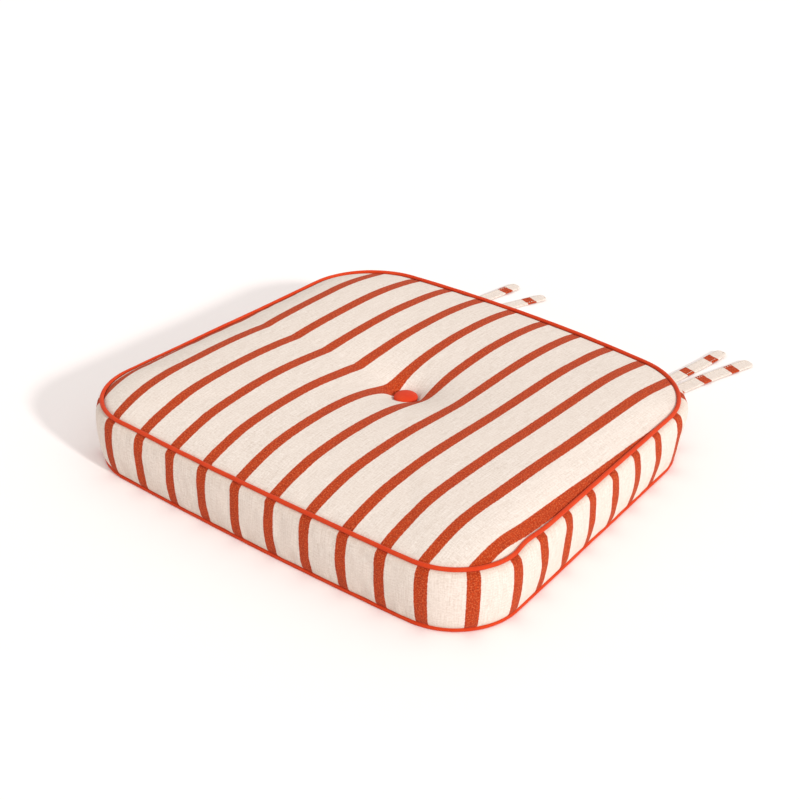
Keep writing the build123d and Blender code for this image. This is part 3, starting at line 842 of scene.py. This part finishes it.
# --- button ---------------------------------------------------------------------------------
def make_button(name, node, up):
    """Cloth-covered dome; the cloth goes on over its back plate and gathers under it."""
    low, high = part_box(node)
    radius = (high.x - low.x) / 2 - 0.3 * MM
    base, peak = (low.z, high.z) if up else (high.z, low.z)
    rise = peak - base
    columns = 96
    angle = np.arange(columns) / columns * 2 * math.pi
    rows = []       # radius, height and how much the cloth is gathered there
    for share in np.linspace(0.06, 1, 18):
        r = math.sin(share * math.pi / 2) ** 0.93
        rows.append((r, 0.30 + 0.70 * math.cos(share * math.pi / 2) ** 0.85, 0.0))
    rows += [(1.0, 0.16, 0.15), (0.985, 0.05, 0.3), (0.96, -0.08, 0.6), (0.925, -0.26, 0.8),
             (0.905, -0.44, 0.9), (0.88, -0.53, 1.0), (0.6, -0.55, 1.0), (0.3, -0.55, 0.6)]
    grid = []
    for r, height, gather in rows:
        fold = 1 + gather * (0.02 * np.cos(24 * angle) + 0.012 * np.cos(17 * angle + 1))
        z = base + rise * height + 0.12 * MM * gather * np.cos(24 * angle)
        grid.append(np.stack([radius * r * fold * np.cos(angle),
                              TUFT_Y + radius * r * fold * np.sin(angle), z], -1))
    grid = np.array(grid)
    uv = np.concatenate([grid, grid[:, :1]], 1)[..., :2]
    points, faces, corners = grid_parts(grid, uv, ring_columns=True, flip=not up)
    points = np.vstack([points, [0.0, TUFT_Y, peak]])
    for k in range(columns):
        faces.append([len(points) - 1, k, (k + 1) % columns][::1 if up else -1])
        corners.extend([uv[0, k]] * 3)
    piece = mesh_object(name, points, faces, corners, button_cotton)
    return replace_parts(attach(piece, "pad"), node)


# --- zip --------------------------------------------------------------------------------------
# section of a tape, in mm: outward of the seams, away from the zip's middle line
TAPE_SECTION = ((2.9, 0.5), (2.9, 4.0), (2.9, 7.5), (2.75, 10.9), (2.35, 10.9), (2.35, 6.0),
                (2.35, 0.5))
COIL_PITCH, COIL_WIRE = 1.6 * MM, 0.34 * MM      # COIL_WIRE is the wire's radius


def make_zip():
    """Two woven tapes, each with its row of coil loops."""
    for level, sign in (("upper", 1), ("lower", -1)):
        coil_low, coil_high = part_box(f"zip_coil_{level}")
        run = (coil_high.x - coil_low.x) / 2
        out = coil_high.y - DEPTH / 2 - 0.9 * MM
        make_zip_tape(f"zip_tape_{level}_cloth", level, sign, run)
        make_zip_coil(f"zip_coil_{level}_teeth", level, sign, run, out)


def make_zip_tape(name, level, sign, run):
    """A woven tape along the back edge, held under the cloth beside the opening."""
    s = np.linspace(HALF_WAY - run, HALF_WAY + run, 160)
    x, y, nx, ny = edge_point(s)
    rows = []
    for out, away in TAPE_SECTION:
        z = np.full_like(x, MID_Z + sign * away * MM)
        rows.append(np.stack([x + nx * out * MM, y + ny * out * MM, z], -1))
    over = np.arange(len(rows) + 1) * 3 * MM
    uv = np.stack(np.broadcast_arrays(s[None, :], over[:, None]), -1)
    piece = grid_object(name, np.array(rows), uv, zip_tape, ring_rows=True, flip=sign > 0)
    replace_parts(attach(piece, "pad"), f"zip_tape_{level}")


def make_zip_coil(name, level, sign, run, out):
    """Loops whose heads hook past the middle line, each between two of the other side's."""
    offset = 0.0 if sign > 0 else COIL_PITCH / 2
    groups = []
    for k in range(int(2 * run / COIL_PITCH) - 1):
        centre = HALF_WAY - run + offset + (k + 0.75) * COIL_PITCH
        loop = []
        for share in np.linspace(0, 1, 9):
            a = share * math.pi
            s = centre + 0.42 * COIL_PITCH * math.cos(a)
            away = (2.6 - 3.3 * math.sin(a) ** 0.7) * MM
            x, y, _, _ = edge_point(np.array([s]), out - 0.5 * MM * abs(math.cos(a)))
            loop.append((x[0], y[0], MID_Z + sign * away))
        groups.append((*tube_parts(loop, COIL_WIRE, 6), 0))
    piece = joined(name, groups, [nylon])
    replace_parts(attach(piece, "pad"), f"zip_coil_{level}")


# --- ties ---------------------------------------------------------------------------------------
TIE_THICK = 1.6 * MM
ROOT_OUT = 1.0 * MM                     # where the strap leaves the seam
FOLD_OUT, FOLD_Z = 4.4 * MM, 5.9 * MM   # the fold line, outward of the seams and up
RAMP = 9.6 * MM                         # the run from the fold down to the ground
TURN_RUN = 12 * MM                      # over which the strap takes up its own heading
TIE_STITCH, TIE_STITCH_R = 2.8 * MM, 0.22 * MM
# section of a strap folded twice, in half widths and half thicknesses: flat, edges rounded
TIE_SECTION = ((-1.0, 0.0), (-0.985, 0.55), (-0.93, 0.85), (-0.6, 0.95), (0.0, 0.9), (0.6, 0.95),
               (0.93, 0.85), (0.985, 0.55), (1.0, 0.0), (0.985, -0.55), (0.93, -0.85),
               (0.3, -0.95), (-0.4, -0.95), (-0.93, -0.85), (-0.985, -0.55))
# in mm and degrees: root x, heading at the root and at the tip, length on the ground, width,
# first stripe from the tip, slant of the stripes; then the side of the closing stitches
TIES = {
    "tie_right_inner": (107.0, 11.3, 7.1, 137.0, 12.2, 19.5, -5.0, 1),
    "tie_right_outer": (123.5, 8.2, 20.5, 140.5, 13.6, 24.0, -3.0, -1),
    "tie_left_outer": (-123.5, 6.0, 14.0, 128.5, 12.2, 17.2, 4.0, -1),
    "tie_left_inner": (-107.0, 11.0, 27.0, 129.0, 12.2, 18.6, 7.0, 1),
}


def tie_centreline(root_x, heading, tip_heading, length, seed):
    """Points, side directions and distances along a tie from its seam to its tip."""
    lean = math.asin(root_x * MM / (BACK_R + FOLD_OUT))
    normal = np.array([math.sin(lean), math.cos(lean)])
    root = np.array([0, DEPTH / 2 - BACK_R]) + normal * (BACK_R + ROOT_OUT)
    fold = FOLD_OUT - ROOT_OUT
    ground = fold + RAMP
    along = np.linspace(0, ground + length * MM, 110)
    share = np.clip((along - ground) / (length * MM), 0, 1)
    heading, bend = math.radians(heading), math.radians(tip_heading - heading)
    settled = np.clip((along - ground) / TURN_RUN, 0, 1)
    turn = lean + (heading - lean) * settled + bend * share
    step = np.diff(along, prepend=0)
    x = root[0] + np.cumsum(step * np.sin(turn))
    y = root[1] + np.cumsum(step * np.cos(turn))
    drop = np.clip((along - fold) / RAMP, 0, 1)
    drop = drop * drop * (3 - 2 * drop)
    wave = np.random.RandomState(seed).uniform(0.6, 1.4, 3)
    ripple = 1 - np.cos((along - ground) / (26 * MM) * wave[0])
    lie = 1.0 * MM + 0.3 * MM * ripple * (along > ground)
    lie = lie + 0.8 * MM * wave[1] * np.clip((share - 0.72) / 0.28, 0, 1) ** 2
    z = FOLD_Z + (lie - FOLD_Z) * drop
    side = np.stack([np.cos(turn), -np.sin(turn), np.zeros_like(turn)], -1)
    return np.stack([x, y, z], -1), side, along


def make_tie(name, facts, seed):
    """One strap: it crosses the fold line, so it bends there as its tie turns."""
    root_x, heading, tip_heading, length, width_mm, first, slant, stitch_side = facts
    tie_width = width_mm * MM
    centre, side, along = tie_centreline(root_x, heading, tip_heading, length, seed)
    left = along[-1] - along
    blunt = np.sqrt(np.clip(1 - (1 - np.clip(left / (7 * MM), 0, 1)) ** 2, 0, 1))
    half = tie_width / 2 * (0.45 + 0.55 * blunt)
    half[-1] *= 0.98      # the very end turns in
    up = np.array([0.0, 0.0, 1.0])
    pinch = 0.55 + 0.45 * np.clip(left / (3 * MM), 0, 1)
    wobble = 0.25 * MM * np.sin(along / (19 * MM) + seed)
    rows = []
    for across, height in TIE_SECTION:
        cup = 0.35 * MM * across * np.sin(along / (23 * MM) + 2 * seed)
        rows.append(centre + side * (half * across + wobble)[:, None]
                    + up * (TIE_THICK / 2 * height * pinch + np.abs(cup) * 0.6)[:, None])
    width = np.array([a for a, _ in TIE_SECTION + TIE_SECTION[:1]]) * tie_width / 2
    stripe = (left - first * MM)[None, :] + width[:, None] * math.tan(math.radians(slant))
    uv = np.stack([stripe, np.broadcast_to(width[:, None], stripe.shape)], -1)
    points, faces, corners = grid_parts(np.array(rows), uv, ring_rows=True)
    columns = len(along)
    for column, order in ((0, -1), (columns - 1, 1)):
        faces.append([k * columns + column for k in range(len(rows))][::order])
        corners.extend([uv[0, column]] * len(rows))
    line = centre + side * (stitch_side * (half - 2.4 * MM))[:, None] + up * (TIE_THICK / 2 * 0.9)
    line = line[14:]        # the stitches start where the strap is down on the ground
    thread = stitches(line, np.broadcast_to(up, line.shape), TIE_STITCH, TIE_STITCH_R)
    piece = joined(name + "_strap", [(points, faces, corners, 0)] + thread, [canvas, stitch_thread])
    seam_attribute(piece, np.zeros(len(piece.data.vertices)))
    reach = centre[12] - centre[0]
    reach /= np.linalg.norm(reach)
    reach = reach * (1, 1, 0) * 2.2 * MM
    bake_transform(piece)
    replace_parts(piece, name, "tie_seam_ends")


# --- put it together ------------------------------------------------------------------------------
def make_cover():
    """The sewn cover: panels, boxing and both pipings."""
    made = [
        (make_top_panel(), "top_panel"),
        (make_boxing_strip(), "boxing_strip"),
        (make_zip_boxing("zip_boxing_upper_cloth", True), "zip_boxing_upper"),
        (make_zip_boxing("zip_boxing_lower_cloth", False), "zip_boxing_lower"),
        (make_bottom_panel(), "bottom_panel"),
    ]
    for piece, node in made:
        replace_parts(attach(piece, "pad"), node)
    for name, height, seed, lift_scale, pull in (
            ("top", TOP_Z, SEED + TOP_PIPING_SEED, 1.0, 1.0),
            ("bottom", BASE_Z, SEED + BOTTOM_PIPING_SEED, 0.0, 0.0)):
        cover = make_piping(f"piping_{name}_cloth", height, seed, lift_scale, pull)
        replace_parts(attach(cover, "pad"), f"piping_{name}_cover")
        cord = make_filler_cord(f"piping_{name}_filler", height, seed, lift_scale, pull)
        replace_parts(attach(cord, "pad"), f"piping_{name}_cord")


def finish_cad_nodes():
    """Carried-over nodes keep their shape and take the finish their maker gave them."""
    finishes = {"zip_slider": zinc, "zip_pull": zinc, "tuft_twine": cord_cotton,
                "button_top_shell": aluminium, "button_top_shank": aluminium,
                "button_under_shell": aluminium, "button_under_shank": aluminium}
    for node, material in finishes.items():
        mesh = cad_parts[node].data
        for k in range(len(mesh.materials)):
            mesh.materials[k] = material
        if not mesh.materials:
            mesh.materials.append(material)


# the view's angles in degrees and its distance in metres from the middle of the top
VIEW_AZIMUTH, VIEW_ELEVATION, VIEW_ROLL, VIEW_DISTANCE = 37.746, 30.331, 1.055, 1.4385


def make_camera():
    """The view: a long lens from the front right, a little above."""
    azimuth, elevation, roll = (math.radians(a) for a in (VIEW_AZIMUTH, VIEW_ELEVATION, VIEW_ROLL))
    flat = math.cos(elevation)
    back = Vector((math.sin(azimuth) * flat, -math.cos(azimuth) * flat, math.sin(elevation)))
    right = Vector((math.cos(azimuth), math.sin(azimuth), 0))
    up = back.cross(right)
    level, tilt = math.cos(roll), math.sin(roll)
    right, up = right * level + up * tilt, up * level - right * tilt
    data = bpy.data.cameras.new("camera")
    data.sensor_width, data.lens = 36.0, 76.24
    data.shift_x, data.shift_y = -0.0042, -0.0075
    data.clip_start, data.clip_end = 0.05, 60.0
    camera = bpy.data.objects.new("camera", data)
    place = Vector((0, 0, TOP_Z)) + back * VIEW_DISTANCE
    camera.matrix_world = Matrix((
        (right.x, up.x, back.x, place.x), (right.y, up.y, back.y, place.y),
        (right.z, up.z, back.z, place.z), (0, 0, 0, 1)))
    bpy.context.scene.collection.objects.link(camera)
    bpy.context.scene.camera = camera


SKY_LOW, SKY_HIGH = 0.45, 1.12       # brightness below and overhead
SKY_COLOUR, KEY_COLOUR = (1.0, 0.99, 0.985, 1.0), (1.0, 0.98, 0.98)
# the lamp's direction and spread in degrees, and its power
KEY_BEARING, KEY_ELEVATION, KEY_SPREAD, KEY_POWER = -9.5, 25.5, 5.0, 1.95


def make_studio():
    """Pale floor, bright even surroundings and one soft lamp from the right."""
    mesh = bpy.data.meshes.new("floor")
    far = 20.0
    corners = [(-far, -far, 0), (far, -far, 0), (far, far, 0), (-far, far, 0)]
    mesh.from_pydata(corners, [], [(0, 1, 2, 3)])
    floor = bpy.data.objects.new("floor", mesh)
    bpy.context.scene.collection.objects.link(floor)
    material, tree = start_material("pale_studio_floor")
    place = add(tree, "ShaderNodeTexCoord").outputs["Object"]
    cloud = add(tree, "ShaderNodeTexNoise", links={"Vector": place, "Scale": 3.0, "Detail": 2.0})
    colour = add(tree, "ShaderNodeMix", COLOUR_MIX, {
        0: cloud.outputs["Fac"], 6: linear("#FAF3F0"), 7: linear("#FCF5F2")})
    finish_material(tree, {"Base Color": colour.outputs[2], "Roughness": 0.9, "Specular IOR Level": 0.1})
    mesh.materials.append(material)
    world = bpy.data.worlds.new("studio")
    world.use_nodes = True
    tree = world.node_tree
    height = add(tree, "ShaderNodeSeparateXYZ", links={
        "Vector": add(tree, "ShaderNodeTexCoord").outputs["Generated"]}).outputs["Z"]
    glow = add(tree, "ShaderNodeMapRange", links={
        "Value": height, "To Min": SKY_LOW, "To Max": SKY_HIGH}).outputs[0]
    tree.links.new(glow, tree.nodes["Background"].inputs["Strength"])
    tree.nodes["Background"].inputs["Color"].default_value = SKY_COLOUR
    bpy.context.scene.world = world
    bearing, lift = math.radians(KEY_BEARING), math.radians(KEY_ELEVATION)
    flat = math.cos(lift)
    aim = Vector((math.cos(bearing) * flat, math.sin(bearing) * flat, math.sin(lift)))
    lamp = bpy.data.lights.new("soft_key", "SUN")
    lamp.angle, lamp.energy = math.radians(KEY_SPREAD), KEY_POWER
    lamp.color = KEY_COLOUR
    key = bpy.data.objects.new("soft_key", lamp)
    key.location = aim * 3.0
    key.rotation_mode = "QUATERNION"
    key.rotation_quaternion = aim.to_track_quat("Z", "Y")
    bpy.context.scene.collection.objects.link(key)
    bpy.context.scene.view_settings.view_transform = "Standard"


make_camera()
make_cover()
make_filling()
make_button("button_top_cloth", "button_top_cover", True)
make_button("button_under_cloth", "button_under_cover", False)
make_zip()
for number, (tie, facts) in enumerate(TIES.items()):
    make_tie(tie, facts, number + 1)
finish_cad_nodes()
make_studio()
